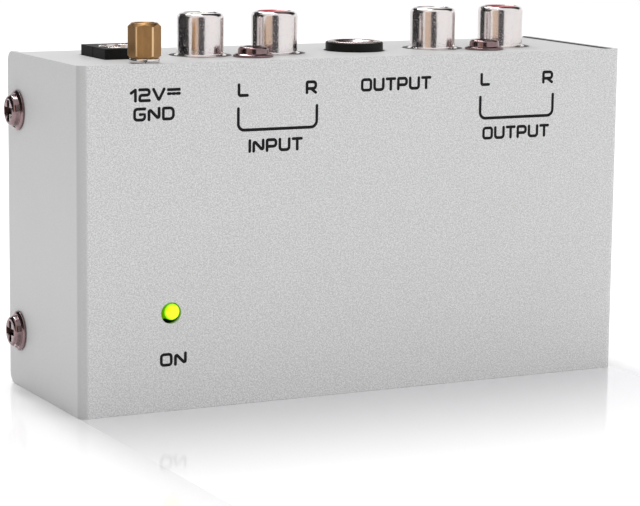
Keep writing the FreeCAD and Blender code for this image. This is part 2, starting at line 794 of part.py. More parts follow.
save("polarity_diode", axial_part(diode_x, diode_z, diode_r, diode_length, resistor_lead_span))
save("rubber_feet", [foot(side * (half_length - foot_inset), z)
                     for side in (-1, 1) for z in (foot_inset, case_height - foot_inset)])
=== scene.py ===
import math

import bmesh
import bpy
from bpy.props import FloatProperty, FloatVectorProperty, IntProperty, PointerProperty
from mathutils import Matrix, Vector


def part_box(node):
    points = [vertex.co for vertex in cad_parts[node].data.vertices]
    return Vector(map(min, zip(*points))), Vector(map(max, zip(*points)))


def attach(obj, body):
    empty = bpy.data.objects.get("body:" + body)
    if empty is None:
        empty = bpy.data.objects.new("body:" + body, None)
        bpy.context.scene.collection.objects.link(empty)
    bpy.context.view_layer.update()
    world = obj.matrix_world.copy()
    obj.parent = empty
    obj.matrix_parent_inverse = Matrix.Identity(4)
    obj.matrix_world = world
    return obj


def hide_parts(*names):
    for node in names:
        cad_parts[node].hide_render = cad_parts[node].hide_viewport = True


bl_info = {
    "name": "Phono Preamp Looks",
    "version": (1, 0, 0),
    "blender": (4, 5, 0),
    "location": "3D View > Sidebar > Preamp",
    "description": "Builds what shows of a small phono preamp in a folded sheet case",
    "category": "Add Mesh",
}

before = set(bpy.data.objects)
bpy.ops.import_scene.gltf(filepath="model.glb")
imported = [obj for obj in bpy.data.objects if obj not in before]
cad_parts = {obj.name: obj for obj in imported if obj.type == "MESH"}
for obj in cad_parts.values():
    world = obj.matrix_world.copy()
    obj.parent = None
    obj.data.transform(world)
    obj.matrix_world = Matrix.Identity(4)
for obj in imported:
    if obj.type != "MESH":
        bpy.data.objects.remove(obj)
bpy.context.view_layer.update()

MM = 0.001

# Places read from the frame, in metres
FRONT_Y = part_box("front_cover")[0].y
END_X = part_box("front_cover")[1].x
PANEL_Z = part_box("base_chassis")[1].z
SOCKETS = ("input_left", "input_right", "output_left", "output_right")

# Screws and threads, in millimetres
SHANK_R, FLANGE_R, DOME_R, HEAD_RISE = 1.45, 3.55, 2.65, 1.8
THREAD_PITCH = 0.5


def middle(node):
    """The middle of a frame node's box."""
    low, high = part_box(node)
    return (low + high) / 2


def radius(node):
    """Half the width of a frame node, in millimetres."""
    low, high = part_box(node)
    return (high.x - low.x) / 2 / MM


def heights(node):
    """Bottom and top of a frame node, in millimetres over the connector panel."""
    return [(corner.z - PANEL_Z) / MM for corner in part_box(node)]


def over_panel(node):
    """The move to the panel's height on a frame node's axis."""
    centre = middle(node)
    return Matrix.Translation((centre.x, centre.y, PANEL_Z))


class Wire:
    """One output of a node, so that maths on it reads as an expression."""

    def __init__(self, tree, socket):
        self.tree = tree
        self.socket = socket

    def maths(self, operation, first, second=0.0, clamp=False):
        settings = {"operation": operation, "use_clamp": clamp}
        return self.tree.node("ShaderNodeMath", settings, {0: first, 1: second})

    def __add__(self, other):
        return self.maths("ADD", self, other)

    def __radd__(self, other):
        return self.maths("ADD", other, self)

    def __sub__(self, other):
        return self.maths("SUBTRACT", self, other)

    def __rsub__(self, other):
        return self.maths("SUBTRACT", other, self)

    def __mul__(self, other):
        return self.maths("MULTIPLY", self, other)

    def __rmul__(self, other):
        return self.maths("MULTIPLY", other, self)

    def __truediv__(self, other):
        return self.maths("DIVIDE", self, other)

    def __rtruediv__(self, other):
        return self.maths("DIVIDE", other, self)

    def __gt__(self, other):
        return self.maths("GREATER_THAN", self, other)

    def size(self):
        return self.maths("ABSOLUTE", self)

    def fraction(self):
        return self.maths("FRACT", self)

    def larger(self, other):
        return self.maths("MAXIMUM", self, other)

    def limited(self):
        return self.maths("ADD", self, 0.0, clamp=True)


class Tree:
    """Adds nodes to a node tree: a type, its settings, and its sockets' values or wires."""

    def __init__(self, node_tree):
        self.tree = node_tree

    def node(self, kind, settings=None, inputs=None, output=0):
        made = self.tree.nodes.new(kind)
        for key, value in (settings or {}).items():
            if key == "stops":
                self.set_stops(made.color_ramp, value)
            else:
                setattr(made, key, value)
        for key, value in (inputs or {}).items():
            if isinstance(value, Wire):
                self.tree.links.new(value.socket, made.inputs[key])
            else:
                made.inputs[key].default_value = value
        return Wire(self, made.outputs[output]) if len(made.outputs) else None

    @staticmethod
    def set_stops(ramp, stops):
        while len(ramp.elements) < len(stops):
            ramp.elements.new(0.5)
        for element, (place, colour) in zip(ramp.elements, stops):
            element.position = place
            element.color = colour


class Paint(Tree):
    """One material, built from the object's own coordinates."""

    def __init__(self, name):
        self.material = bpy.data.materials.new(name)
        self.material.use_nodes = True
        super().__init__(self.material.node_tree)
        self.tree.nodes.clear()
        self.place = self.node("ShaderNodeTexCoord", output="Object")
        self.axes = {axis: self.node("ShaderNodeSeparateXYZ", {}, {0: self.place}, axis)
                     for axis in "XYZ"}

    def moved(self, shift=(0, 0, 0), turn=(0, 0, 0), stretch=(1, 1, 1)):
        """The coordinates from a point, turned and stretched, for a pattern on one piece."""
        point = {"vector_type": "POINT"}
        back = [-c for c in shift]
        centred = self.node("ShaderNodeMapping", point, {"Vector": self.place, "Location": back})
        inputs = {"Vector": centred, "Rotation": turn, "Scale": stretch}
        return self.node("ShaderNodeMapping", point, inputs)

    def noise(self, per_metre, detail=2.0, roughness=0.5, at=None):
        inputs = {"Vector": at or self.place, "Scale": per_metre, "Detail": detail,
                  "Roughness": roughness}
        return self.node("ShaderNodeTexNoise", {}, inputs)

    def spread(self, value, low, high, to_low=0.0, to_high=1.0):
        inputs = {"Value": value, "From Min": low, "From Max": high,
                  "To Min": to_low, "To Max": to_high}
        return self.node("ShaderNodeMapRange", {"clamp": True}, inputs)

    def mark(self, name):
        """What marked() wrote on the piece's faces; nothing where it wrote none."""
        kind = {"attribute_name": name, "attribute_type": "GEOMETRY"}
        return self.node("ShaderNodeAttribute", kind, {}, "Fac")

    def blend(self, share, first, second):
        """A colour between two colours."""
        inputs = {0: share, 6: first, 7: second}
        return self.node("ShaderNodeMix", {"data_type": "RGBA"}, inputs, 2)

    def tone(self, share, colour, dark, light):
        """One colour, from darker to lighter."""
        return self.blend(share, shade(colour, dark), shade(colour, light))

    def surface(self, values, relief, depth):
        """Ends the material in one Principled shader, with a bump of a depth in millimetres."""
        bump = {"Height": relief, "Distance": depth * MM, "Strength": 1.0}
        values = dict(values, Normal=self.node("ShaderNodeBump", {}, bump, "Normal"))
        shader = self.node("ShaderNodeBsdfPrincipled", {}, values)
        self.node("ShaderNodeOutputMaterial", {}, {"Surface": shader})
        return self.material

    def metal(self, base, rough, relief, depth):
        values = {"Base Color": base, "Roughness": rough, "Metallic": 1.0}
        return self.surface(values, relief, depth)


def shade(colour, factor):
    """A colour with an alpha, darker or lighter."""
    return [min(1.0, c * factor) for c in colour[:3]] + [1.0]


def case_paint(colours):
    """Silver-grey powder coat: fine grain on the face, calmer elsewhere, painted shade on the left
    fold, and bare sheet within that is darkened as painted shade.
    """
    paint = Paint("case_paint")
    face = paint.spread(paint.axes["Y"], FRONT_Y + 0.9 * MM, FRONT_Y + 0.2 * MM)
    grain = paint.noise(4300, 2.0, 0.6)
    specks = paint.spread(paint.noise(6200, 1.0, 0.5), 0.56, 0.72)
    cloud = paint.noise(150, 1.0, 0.5)
    strength = 0.16 + 0.84 * face
    bright = (grain - 0.5) * 4.0 * strength + 0.30 * specks * strength
    level = (0.46 + bright + (cloud - 0.5) * 0.06).limited()
    base = paint.tone(level, colours.case_paint, 0.80, 1.20)
    # Painted shade: the left fold is darker, as if in the shade of its bend
    painted_fold_shade = paint.spread(paint.axes["X"], 1.6 * MM - END_X, 1.1 * MM - END_X)
    painted_fold_shade = painted_fold_shade * paint.spread(paint.axes["Y"], FRONT_Y + 1.6 * MM, FRONT_Y + 1.1 * MM)
    base = paint.blend(painted_fold_shade * 0.8, base, shade(colours.case_paint, 0.78))
    # Painted shade: faces marked inside take a dark bare-sheet tone that stands for the shade in
    # the gaps between cover and chassis
    base = paint.blend(paint.mark("inside"), base,
                       paint.tone(grain, colours.bare_sheet, 0.8, 1.2))
    values = {"Base Color": base, "Roughness": 0.44 + 0.14 * grain, "Metallic": 0.15, "IOR": 1.5}
    return paint.surface(values, grain * (0.25 + 0.75 * face), 0.018)


def label_ink(colours):
    """Printed black, very slightly uneven where it lies over the grain."""
    paint = Paint("label_ink")
    uneven = paint.noise(4200, 2.0)
    values = {"Base Color": paint.tone(uneven, colours.label_ink, 0.6, 1.5),
              "Roughness": 0.5 + 0.2 * uneven, "Specular IOR Level": 0.15}
    return paint.surface(values, uneven, 0.004)


def drawn_nickel(colours):
    """Bright nickel on drawn sheet: fine marks along the draw, small pits and a warm tint."""
    paint = Paint("drawn_nickel")
    drawn = paint.noise(3000, 4.0, 0.65, paint.moved(stretch=(1, 1, 0.14)))
    pits = paint.spread(paint.noise(4800, 2.0), 0.58, 0.74)
    tint = paint.noise(420, 1.0, 0.5, paint.moved(stretch=(1, 1, 0.3)))
    base = paint.blend(tint, shade(colours.nickel, 0.94), shade(colours.nickel_warm, 1.0))
    base = paint.blend(pits * 0.5, base, shade(colours.nickel, 0.35))
    return paint.metal(base, 0.08 + 0.13 * drawn + 0.25 * pits, drawn - 0.8 * pits, 0.009)


def dark_nickel(colours):
    """Dark nickel on screws: smoky, slightly pink, with painted shade that turns it nearly black
    down in the recess.
    """
    paint = Paint("dark_nickel")
    marks = paint.noise(3800, 3.0, 0.6)
    base = paint.tone(paint.noise(900, 3.0, 0.6), colours.screw_steel, 0.65, 1.4)
    # Painted shade: faces marked deep in the cross recess go nearly black
    base = paint.blend(paint.mark("deep") * 0.92, base, shade(colours.screw_steel, 0.06))
    return paint.metal(base, 0.10 + 0.13 * marks, marks, 0.008)


def turned_brass(colours):
    """Brass bar stock: drawn lines along the flats, a little tarnish, bright edges that are partly
    wear and partly painted highlight.
    """
    paint = Paint("turned_brass")
    lines = paint.noise(5200, 3.0, 0.6, paint.moved(stretch=(1, 1, 0.06)))
    tarnish = paint.noise(900, 3.0, 0.65, paint.moved(stretch=(1, 1, 0.5)))
    base = paint.tone(tarnish, colours.brass, 0.70, 1.25)
    # Painted highlight: the marked edge faces take a bright brass tone that stands for highlights
    # as well as wear
    base = paint.blend(paint.mark("worn") * 0.85, base, (*colours.brass_wear_and_highlight, 1))
    return paint.metal(base, 0.20 + 0.18 * lines + 0.10 * tarnish, lines, 0.006)


def lamp_lens(colours):
    """A lit lens: yellow at its heart, green towards the rim."""
    paint = Paint("lamp_lens")
    at = middle("power_lamp")
    centred = paint.moved(shift=(at.x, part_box("power_lamp")[0].y, at.z))
    reach = paint.node("ShaderNodeVectorMath", {"operation": "LENGTH"}, {0: centred}, "Value")
    heart, edge = (*colours.lamp_heart, 1), (*colours.lamp_edge, 1)
    stops = [(0.0, heart), (0.45, heart), (0.8, edge), (1.0, shade(edge, 0.35))]
    share = paint.spread(reach, 0.35 * MM, 1.55 * MM)
    glow = paint.node("ShaderNodeValToRGB", {"stops": stops}, {0: share})
    haze = paint.noise(1500, 2.0)
    values = {"Base Color": glow, "Roughness": 0.06 + 0.06 * haze, "Emission Color": glow,
              "Emission Strength": 0.85, "IOR": 1.5}
    return paint.surface(values, haze, 0.004)


def board_laminate(colours):
    """Green solder mask over copper runs."""
    paint = Paint("board_laminate")
    tracks = paint.node("ShaderNodeTexBrick", {"offset": 0.37}, {
        "Vector": paint.moved(turn=(math.radians(90), 0, 0)), "Scale": 420.0,
        "Mortar Size": 0.06, "Color1": (0, 0, 0, 1), "Color2": (0.35, 0.35, 0.35, 1),
        "Mortar": (1, 1, 1, 1)}, "Fac")
    weave = paint.noise(1500, 2.0)
    base = paint.tone(tracks, colours.board, 1.0, 1.8)
    base = paint.blend(weave * 0.3, base, shade(colours.board, 0.6))
    return paint.surface({"Base Color": base, "Roughness": 0.25 + 0.15 * weave}, tracks, 0.03)


def capacitor_sleeve(colours):
    """Shrink sleeve with its pale stripe, over a bare aluminium top."""
    paint = Paint("capacitor_sleeve")
    top = paint.spread(paint.axes["Y"], -3.6 * MM, -3.5 * MM)
    stripe = paint.spread(paint.noise(90, 0.0), 0.56, 0.57)
    fine = paint.noise(1800, 2.0)
    sleeve = paint.blend(stripe, shade(colours.sleeve, 1.0), shade(colours.bright_steel, 0.8))
    base = paint.blend(top, shade(colours.bright_steel, 0.9), sleeve)
    values = {"Base Color": base, "Roughness": 0.25 + 0.2 * fine, "Metallic": 0.9 * (1 - top)}
    return paint.surface(values, fine, 0.006)


def resistor_coat(colours):
    """Pale blue lacquer with painted bands across its length."""
    paint = Paint("resistor_coat")
    band = ((paint.axes["X"] * 820.0).fraction() > 0.72) * 0.85
    fine = paint.noise(2200, 2.0)
    base = paint.blend(band, shade(colours.resistor, 1.0), (0.28, 0.07, 0.02, 1))
    return paint.surface({"Base Color": base, "Roughness": 0.3 + 0.15 * fine}, fine, 0.008)


def floor_finish(colours):
    """White board under the object, polished close to it and dull further out."""
    paint = Paint("floor_finish")
    side_reach, side_polish = 0.032, 0.33
    front_reach, front_polish = 0.064, 0.64
    fine = paint.noise(40, 2.0)
    beside = (paint.axes["X"].size() - END_X).larger(paint.axes["Y"] + FRONT_Y)
    off_side = beside > 0.0
    along = paint.spread(paint.axes["X"], -END_X, END_X, 0.86, 1.08)
    ahead = paint.spread(FRONT_Y - paint.axes["Y"], 0.0, front_reach, front_polish, 0.0)
    polish = off_side * paint.spread(beside, 0.0, side_reach, side_polish, 0.0)
    polish = polish + (1 - off_side) * along * ahead
    dull = {"Base Color": paint.tone(fine, colours.floor, 0.99, 1.0),
            "Roughness": 0.6 + 0.05 * fine, "Specular IOR Level": 0.1}
    bright = {"Base Color": (0.975, 0.96, 1.0, 1), "Roughness": 0.07 + 0.01 * fine,
              "Metallic": 1.0}
    sheens = {0: polish, 1: paint.node("ShaderNodeBsdfPrincipled", {}, dull),
              2: paint.node("ShaderNodeBsdfPrincipled", {}, bright)}
    mixed = paint.node("ShaderNodeMixShader", {}, sheens)
    paint.node("ShaderNodeOutputMaterial", {}, {"Surface": mixed})
    return paint.material


def plain_metal(name, colour, dark, light, per_metre, gloss, uneven, depth, stretch=(1, 1, 1)):
    """One metal tone, with fine marks in its colour, gloss and relief."""
    paint = Paint(name)
    marks = paint.noise(per_metre, 3.0, 0.6, paint.moved(stretch=stretch))
    return paint.metal(paint.tone(marks, colour, dark, light), gloss + uneven * marks,
                       marks, depth)


def moulded(name, colour, gloss, grain, shine=0.5):
    """Moulded plastic or rubber: a faint orange peel and a duller, lighter bloom in patches."""
    paint = Paint(name)
    peel = paint.noise(2400, 2.0, 0.5)
    bloom = paint.noise(300, 2.0, 0.5)
    values = {"Base Color": paint.tone(bloom, colour, 0.82, 1.2),
              "Roughness": gloss + 0.14 * peel + 0.08 * bloom, "Specular IOR Level": shine}
    return paint.surface(values, peel, grain)


def card_stock(name, dark, light, per_metre, rough):
    """Studio cloth or board, which bright metal mirrors."""
    paint = Paint(name)
    weave = paint.noise(per_metre, 2.0)
    values = {"Base Color": paint.blend(weave, (*dark, 1), (*light, 1)), "Roughness": rough}
    return paint.surface(values, weave, 0.1)


SPECIALS = {made_by.__name__: made_by for made_by in (
    case_paint, label_ink, drawn_nickel, dark_nickel, turned_brass, lamp_lens, board_laminate,
    capacitor_sleeve, resistor_coat, floor_finish)}
# The colour, then what plain_metal() takes after it
METALS = {
    "bush_nickel": ("bush", 0.85, 1.1, 3600, 0.20, 0.14, 0.004),
    "bright_steel": ("bright_steel", 0.82, 1.08, 3000, 0.14, 0.20, 0.005),
    "contact_plate": ("bright_steel", 0.80, 1.05, 2600, 0.22, 0.20, 0.004, (1, 0.2, 0.2)),
}
# The colour, then what moulded() takes after it
MOULDINGS = {
    "black_plastic": ("black_plastic", 0.42, 0.008, 0.2),
    "white_plastic": ("white_plastic", 0.28, 0.004),
    "red_plastic": ("red_plastic", 0.28, 0.004),
    "chip_plastic": ("chip", 0.55, 0.01),
    "film_plastic": ("film", 0.25, 0.006),
    "ceramic_coat": ("ceramic", 0.45, 0.012),
    "foot_rubber": ("rubber", 0.68, 0.015),
}
# What card_stock() takes
CARDS = {
    "dark_cloth": ((0.007, 0.0065, 0.007), (0.013, 0.012, 0.013), 900, 0.9),
    "grey_cloth": ((0.035, 0.0325, 0.035), (0.065, 0.06, 0.065), 900, 0.9),
    "warm_board": ((0.50, 0.38, 0.29), (0.60, 0.46, 0.35), 60, 0.8),
}
materials = {}


def material(name):
    """The finish of that name, made when it is first asked for."""
    if name not in materials:
        colours = bpy.context.scene.preamp_colours
        if name in SPECIALS:
            materials[name] = SPECIALS[name](colours)
        elif name in CARDS:
            materials[name] = card_stock(name, *CARDS[name])
        else:
            made_by, table = (plain_metal, METALS) if name in METALS else (moulded, MOULDINGS)
            colour, *values = table[name]
            materials[name] = made_by(name, getattr(colours, colour), *values)
    return materials[name]


def rounded(points, closed=False, steps=5):
    """An outline with each (x, y, radius) corner rounded by an arc."""
    corners = [(Vector((x, y)), r) for x, y, r in points]
    count = len(corners)
    outline = []
    for index, (corner, bend) in enumerate(corners):
        at_end = not closed and index in (0, count - 1)
        if bend <= 0 or at_end:
            outline.append(tuple(corner))
            continue
        before = (corners[index - 1][0] - corner).normalized()
        after = (corners[(index + 1) % count][0] - corner).normalized()
        half = before.angle(after) / 2
        reach = bend / math.tan(half)
        centre = corner + (before + after).normalized() * (bend / math.sin(half))
        start = corner + before * reach - centre
        finish = corner + after * reach - centre
        sweep = start.angle_signed(finish)
        for step in range(steps + 1):
            angle = -sweep * step / steps
            turned_by = Vector((start.x * math.cos(angle) - start.y * math.sin(angle),
                                start.x * math.sin(angle) + start.y * math.cos(angle)))
            outline.append(tuple(centre + turned_by))
    return outline


def lathed(profile, closed, segments=96):
    """A turned form about Z from an outline of (radius, height) in millimetres."""
    form = bmesh.new()
    rings = []
    for reach, height in profile:
        ring = []
        for step in range(segments if reach > 1e-6 else 1):
            angle = math.tau * step / segments
            ring.append(form.verts.new((reach * math.cos(angle) * MM,
                                        reach * math.sin(angle) * MM, height * MM)))
        rings.append(ring)
    following = rings[1:] + rings[:1] if closed else rings[1:]
    for lower, upper in zip(rings, following):
        for step in range(segments):
            beside = (step + 1) % segments
            corners = [lower[step % len(lower)], lower[beside % len(lower)],
                       upper[beside % len(upper)], upper[step % len(upper)]]
            corners = list(dict.fromkeys(corners))
            if len(corners) > 2:
                form.faces.new(corners)
    bmesh.ops.recalc_face_normals(form, faces=form.faces)
    return form


def skinned(rings):
    """A closed form over rings of points in metres."""
    form = bmesh.new()
    rings = [[form.verts.new(point) for point in ring] for ring in rings]
    count = len(rings[0])
    for before, after in zip(rings, rings[1:]):
        for row in range(count):
            beside = (row + 1) % count
            form.faces.new((before[row], before[beside], after[beside], after[row]))
    form.faces.new(rings[0][::-1])
    form.faces.new(rings[-1])
    bmesh.ops.recalc_face_normals(form, faces=form.faces)
    return form


def block(low, high):
    """A box form between two corners in metres."""
    form = bmesh.new()
    bmesh.ops.create_cube(form, size=1.0)
    low, high = Vector(low), Vector(high)
    form.transform(Matrix.Translation((low + high) / 2) @ Matrix.Diagonal((*(high - low), 1)))
    return form


def frame_form(node):
    """A merged copy of a frame node's mesh, with its flat faces joined."""
    form = bmesh.new()
    form.from_mesh(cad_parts[node].data)
    bmesh.ops.remove_doubles(form, verts=form.verts, dist=0.002 * MM)
    bmesh.ops.dissolve_limit(form, angle_limit=math.radians(0.5), verts=form.verts,
                             edges=form.edges)
    return form


def linked(name, mesh):
    """A new object in the scene that holds a mesh."""
    thing = bpy.data.objects.new(name, mesh)
    bpy.context.scene.collection.objects.link(thing)
    return thing


def scratch(name, form):
    """An object that holds a form while it is worked on."""
    mesh = bpy.data.meshes.new(name)
    form.to_mesh(mesh)
    form.free()
    return linked(name, mesh)


def baked(thing, name):
    """The evaluated mesh of a scratch object, as a new object; the scratch object goes."""
    bpy.context.view_layer.update()
    shown = thing.evaluated_get(bpy.context.evaluated_depsgraph_get())
    mesh = bpy.data.meshes.new_from_object(shown)
    mesh.name = name
    bpy.data.objects.remove(thing)
    return linked(name, mesh)


def smooth(thing, crease):
    """Smooth faces, with sharp edges over an angle in degrees."""
    for face in thing.data.polygons:
        face.use_smooth = True
    thing.data.set_sharp_from_angle(angle=math.radians(crease))
    return thing


def turned(name, points, closed=True, steps=5, segments=96, crease=40, at=Matrix()):
    """A scratch piece turned about Z from rounded corners in millimetres, moved by a matrix."""
    form = lathed(rounded(points, closed, steps), closed, segments)
    form.transform(at)
    return smooth(scratch(name, form), crease)


def eased(thing, width, angle=30.0):
    """A scratch object with a small bevel on its sharp edges, as a new object."""
    for face in thing.data.polygons:
        face.use_smooth = True
    bevel = thing.modifiers.new("eased", "BEVEL")
    bevel.width = width * MM
    bevel.segments = 2
    bevel.limit_method = "ANGLE"
    bevel.angle_limit = math.radians(angle)
    bevel.harden_normals = True
    even = thing.modifiers.new("even", "WEIGHTED_NORMAL")
    even.keep_sharp = True
    return baked(thing, thing.name)


def eased_copy(node, name, width, angle=30.0):
    """A copy of a frame node with a small bevel on its sharp edges."""
    return eased(scratch(name, frame_form(node)), width, angle)


def marked(thing, name, rule):
    """Writes 1 on each face that the rule picks, for a finish to read."""
    marks = thing.data.attributes.new(name, "FLOAT", "FACE")
    for row, face in zip(marks.data, thing.data.polygons):
        row.value = 1.0 if rule(face) else 0.0
    return thing


def cut(thing, form, operation="DIFFERENCE"):
    """Takes a form away from a scratch object, or keeps what is inside it."""
    tool = scratch("tool", form)
    modifier = thing.modifiers.new("cut", "BOOLEAN")
    modifier.operation = operation
    modifier.solver = "EXACT"
    modifier.object = tool
    made = baked(thing, thing.name)
    bpy.data.objects.remove(tool)
    return made


def finished(thing, finish, slot, *nodes, body="root"):
    """Gives a piece its finish and its place in the frame."""
    thing.data.materials.clear()
    thing.data.materials.append(material(finish))
    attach(thing, body)
    if nodes:
        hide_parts(*nodes)
    return thing


def geometry_tree(name, inputs):
    """A Geometry Nodes group with named inputs, and a wire from each."""
    group = bpy.data.node_groups.new(name, "GeometryNodeTree")
    for key, kind in inputs.items():
        group.interface.new_socket(key, in_out="INPUT", socket_type="NodeSocket" + kind)
    group.interface.new_socket("Made", in_out="OUTPUT", socket_type="NodeSocketGeometry")
    tree = Tree(group)
    entry = tree.node("NodeGroupInput").socket.node
    return tree, {socket.name: Wire(tree, socket) for socket in entry.outputs if socket.name}


def dressed(tree, shape, finish):
    """Ends a Geometry Nodes tree: plain mesh, in its finish."""
    plain = tree.node("GeometryNodeRealizeInstances", {}, {0: shape})
    painted = {"Geometry": plain, "Material": finish}
    tree.node("NodeGroupOutput", {}, {0: tree.node("GeometryNodeSetMaterial", {}, painted)})
    return tree.tree


def copies_tree():
    """Puts one piece at each point, turned by the point's own angles."""
    tree, given = geometry_tree("copies_at_places", {
        "Places": "Geometry", "Piece": "Object", "Finish": "Material"})
    turn = tree.node("GeometryNodeInputNamedAttribute", {"data_type": "FLOAT_VECTOR"},
                     {"Name": "turn"}, "Attribute")
    rotation = tree.node("FunctionNodeEulerToRotation", {}, {0: turn})
    shape = tree.node("GeometryNodeObjectInfo", {}, {"Object": given["Piece"]}, "Geometry")
    copied = {"Points": given["Places"], "Instance": shape, "Rotation": rotation}
    placed = tree.node("GeometryNodeInstanceOnPoints", {}, copied)
    return dressed(tree, placed, given["Finish"])


def strokes_tree():
    """Turns drawn lines into flat, round-ended strokes of ink."""
    tree, given = geometry_tree("ink_strokes", {
        "Lines": "Geometry", "Stroke Width": "Float", "Ink Height": "Float",
        "Face Depth": "Float", "Finish": "Material"})
    half = given["Stroke Width"] * 0.5
    paths = tree.node("GeometryNodeMeshToCurve", {}, {"Mesh": given["Lines"]})
    section = tree.node("GeometryNodeCurvePrimitiveCircle", {"mode": "RADIUS"},
                        {"Resolution": 10, "Radius": half})
    swept = {"Curve": paths, "Profile Curve": section, "Fill Caps": True}
    tubes = tree.node("GeometryNodeCurveToMesh", {}, swept)
    is_end = tree.node("GeometryNodeInputNamedAttribute", {"data_type": "BOOLEAN"},
                       {"Name": "end"}, "Attribute")
    ball = tree.node("GeometryNodeMeshUVSphere", {},
                     {"Segments": 12, "Rings": 6, "Radius": half * 1.002})
    ends = {"Points": given["Lines"], "Selection": is_end, "Instance": ball}
    balls = tree.node("GeometryNodeInstanceOnPoints", {}, ends)
    plain = tree.node("GeometryNodeRealizeInstances", {}, {0: balls})
    join = tree.tree.nodes.new("GeometryNodeJoinGeometry")
    for shape in (tubes, plain):
        tree.tree.links.new(shape.socket, join.inputs[0])
    thin = given["Ink Height"] / given["Stroke Width"]
    flat = tree.node("ShaderNodeCombineXYZ", {}, {"X": 1.0, "Y": thin, "Z": 1.0})
    depth = tree.node("ShaderNodeCombineXYZ", {}, {"Y": given["Face Depth"]})
    pressed = tree.node("GeometryNodeTransform", {}, {
        "Geometry": Wire(tree, join.outputs[0]), "Scale": flat, "Translation": depth})
    soft = tree.node("GeometryNodeSetShadeSmooth", {}, {0: pressed})
    return dressed(tree, soft, given["Finish"])


def grown(thing, group, values, name):
    """Runs a Geometry Nodes tree on a scratch object and returns the plain mesh it makes."""
    modifier = thing.modifiers.new(group.name, "NODES")
    modifier.node_group = group
    for item in group.interface.items_tree:
        if item.name in values:
            modifier[item.identifier] = values[item.name]
    return baked(thing, name)


def copies(piece, places, name, finish, slot, *nodes):
    """One finished piece of copies of a scratch piece at (place, turn) pairs."""
    group = bpy.data.node_groups.get("copies_at_places") or copies_tree()
    mesh = bpy.data.meshes.new(name)
    mesh.from_pydata([tuple(place) for place, turn in places], [], [])
    turns = mesh.attributes.new("turn", "FLOAT_VECTOR", "POINT")
    for row, (place, turn) in zip(turns.data, places):
        row.vector = turn
    values = {"Piece": piece, "Finish": material(finish)}
    made = grown(linked(name, mesh), group, values, name)
    bpy.data.objects.remove(piece)
    return finished(made, finish, slot, *nodes)


def screw_form(sizes):
    """A pan screw with a washer flange and a tapered cross recess, head up, seat at z = 0."""
    root = SHANK_R * 0.80
    end, under_head = -sizes.shank_length, -0.6
    profile = [(0.0, end), (SHANK_R * 0.72, end)]
    for turn in range(int((sizes.shank_length - 1.0) / THREAD_PITCH)):
        foot = end + 0.25 + THREAD_PITCH * turn
        profile += [(root, foot), (SHANK_R, foot + 0.22), (SHANK_R, foot + 0.28)]
    profile += [(root, under_head), (root, -0.05)]
    profile += rounded([
        (SHANK_R, 0.0, 0), (FLANGE_R - 0.02, 0.0, 0.10), (FLANGE_R, 0.40, 0.15),
        (FLANGE_R - 0.5, 0.66, 0.2), (DOME_R + 0.12, 0.55, 0.1), (DOME_R, HEAD_RISE, 0.62),
        (0.0, HEAD_RISE, 0)])
    body = scratch("screw", lathed(profile, False, 48))
    deep = HEAD_RISE - sizes.recess_depth
    long, wide = sizes.recess_length / 2, sizes.recess_width / 2
    rings = []
    for height, share in ((deep, 0.55), (deep + 0.35, 0.82), (HEAD_RISE + 0.1, 1.05)):
        reach, half = long * share, wide * (0.6 + 0.4 * share)
        cross = [(reach, half), (half, half), (half, reach), (-half, reach), (-half, half),
                 (-reach, half), (-reach, -half), (-half, -half), (-half, -reach),
                 (half, -reach), (half, -half), (reach, -half)]
        rings.append([(x * MM, y * MM, height * MM) for x, y in cross])
    screw = smooth(eased(cut(body, skinned(rings)), 0.05, 40), 40)

    # Picks the recess faces that take the painted shade in dark_nickel
    def is_deep(face):
        at = face.center
        within = 0.5 * MM < at.z < (HEAD_RISE - 0.06) * MM and at.xy.length < long * MM
        return within and face.normal.z > -0.5

    return marked(screw, "deep", is_deep)


# Each letter: its width, then its lines as (x, y, bend) points and whether they close
GLYPHS = {
    "O": (1.0, [([(0, 0, .25), (1, 0, .25), (1, 1, .25), (0, 1, .25)], True)]),
    "N": (1.0, [([(0, 0, 0), (0, 1, .12), (1, 0, .12), (1, 1, 0)], False)]),
    "I": (0.0, [([(0, 0, 0), (0, 1, 0)], False)]),
    "P": (0.95, [([(0, 0, 0), (0, 1, .12), (1, 1, .28), (1, .38, .28), (0, .38, 0)], False)]),
    "R": (0.95, [([(0, 0, 0), (0, 1, .12), (1, 1, .28), (1, .38, .28), (0, .38, 0)], False),
                 ([(.45, .38, 0), (1, 0, 0)], False)]),
    "U": (1.0, [([(0, 1, 0), (0, 0, .28), (1, 0, .28), (1, 1, 0)], False)]),
    "T": (0.9, [([(0, 1, 0), (1, 1, 0)], False), ([(.5, 1, 0), (.5, 0, 0)], False)]),
    "L": (0.85, [([(0, 1, 0), (0, 0, .22), (1, 0, 0)], False)]),
    "G": (1.0, [([(1, 1, 0), (0, 1, .28), (0, 0, .28), (1, 0, .28), (1, .5, 0), (.55, .5, 0)],
                 False)]),
    "D": (1.0, [([(0, 0, .1), (1, 0, .35), (1, 1, .35), (0, 1, .1)], True)]),
    "V": (1.05, [([(0, 1, 0), (.5, 0, .06), (1, 1, 0)], False)]),
    "1": (0.42, [([(0, .72, 0), (1, 1, .03), (1, 0, 0)], False)]),
    "2": (0.95, [([(0, 1, 0), (1, 1, .26), (1, .5, .26), (0, .5, .26), (0, 0, .1), (1, 0, 0)],
                  False)]),
    "=": (1.1, [([(0, .92, 0), (1, .92, 0)], False), ([(0, .55, 0), (.2, .55, 0)], False),
                ([(.42, .55, 0), (.58, .55, 0)], False), ([(.8, .55, 0), (1, .55, 0)], False)]),
}
LETTER_GAP = 0.42

